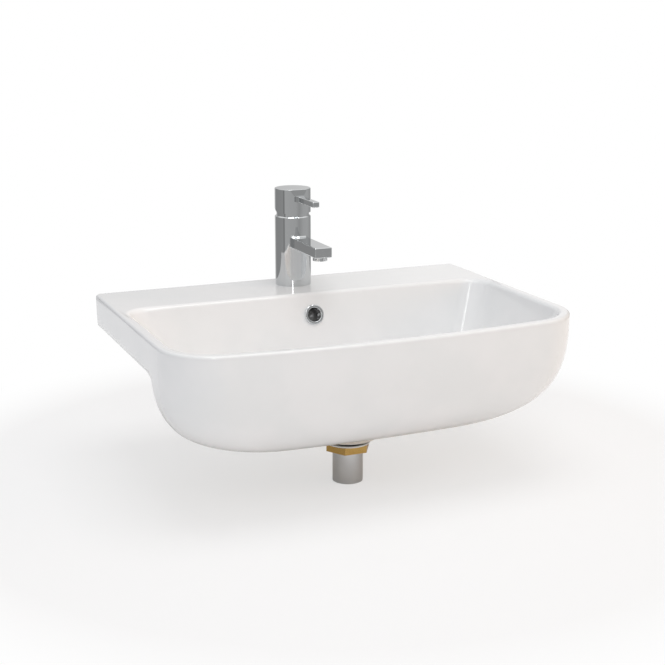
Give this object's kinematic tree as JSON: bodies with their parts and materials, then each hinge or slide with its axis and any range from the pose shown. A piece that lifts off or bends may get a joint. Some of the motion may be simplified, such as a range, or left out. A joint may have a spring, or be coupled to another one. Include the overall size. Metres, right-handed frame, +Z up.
{
  "type": "semi recessed basin",
  "caption": "White ceramic basin half let into a worktop, with a bowed front, flat tap ledge, chrome overflow ring, bar-spout lever mixer tap and push-to-open waste.",
  "frame": {"origin": "middle of the seat face under the back wall of the rim, where it stands on the worktop", "axes": "+Z up, +X to the right seen from the front, +Y back to the wall"},
  "size_m": [0.5602, 0.4001, 0.3705],
  "materials": {
    "glazed_ceramic": "gloss white glaze on vitreous china",
    "chrome_plate": "bright chrome plate on brass",
    "brass": "machined",
    "black_rubber": "moulded, matt",
    "white_plastic": "moulded, satin",
    "zinc_steel": "zinc plated",
    "alumina": "lapped"
  },
  "bodies": {
    "basin": {"basin": "glazed_ceramic", "overflow_trim": "chrome_plate", "waste_body": "chrome_plate", "waste_flange_seal": "black_rubber", "waste_tapered_washer": "black_rubber", "waste_slip_washer": "white_plastic", "waste_backnut": "brass", "clicker_sleeve": "chrome_plate", "tap_body": "chrome_plate", "aerator_housing": "chrome_plate", "aerator_insert": "white_plastic", "tap_base_seal": "black_rubber", "tap_stud": "brass", "horseshoe_rubber": "black_rubber", "horseshoe_plate": "zinc_steel", "tap_stud_nut": "brass", "cartridge_gasket": "black_rubber", "cartridge_base": "white_plastic", "cartridge_fixed_disc": "alumina", "cartridge_housing": "white_plastic", "cartridge_nut": "brass", "cartridge_shroud": "chrome_plate"},
    "swivel": {"cartridge_carrier": "white_plastic", "cartridge_pin": "zinc_steel"},
    "lever": {"tap_handle": "chrome_plate", "handle_grub_screw": "zinc_steel", "handle_screw_cap": "chrome_plate", "cartridge_stem": "zinc_steel"},
    "disc": {"cartridge_moving_disc": "alumina", "cartridge_slide": "white_plastic"},
    "plug": {"plug_cap": "chrome_plate", "plug_seal": "black_rubber", "plug_plunger": "brass"}
  },
  "joints": [
    {"name": "handle_swivel", "type": "hinge", "parent": "basin", "child": "swivel", "pos_m": [0, -0.037, 0.134], "axis": [0, 0, 1], "range_deg": [-45, 45]},
    {"name": "handle_lift", "type": "hinge", "parent": "swivel", "child": "lever", "pos_m": [0, -0.037, 0.134], "axis": [-1, 0, 0], "range_deg": [0, 24]},
    {"name": "disc_slide", "type": "slide", "parent": "swivel", "child": "disc", "axis": [0, -1, 0], "range_m": [0, 0.0035]},
    {"name": "plug_slide", "type": "slide", "parent": "basin", "child": "plug", "axis": [0, 0, 1], "range_m": [0, 0.008]}
  ],
  "couplings": [
    {"joint": "disc_slide", "follows": "handle_lift", "m_per_rad": 0.008}
  ]
}
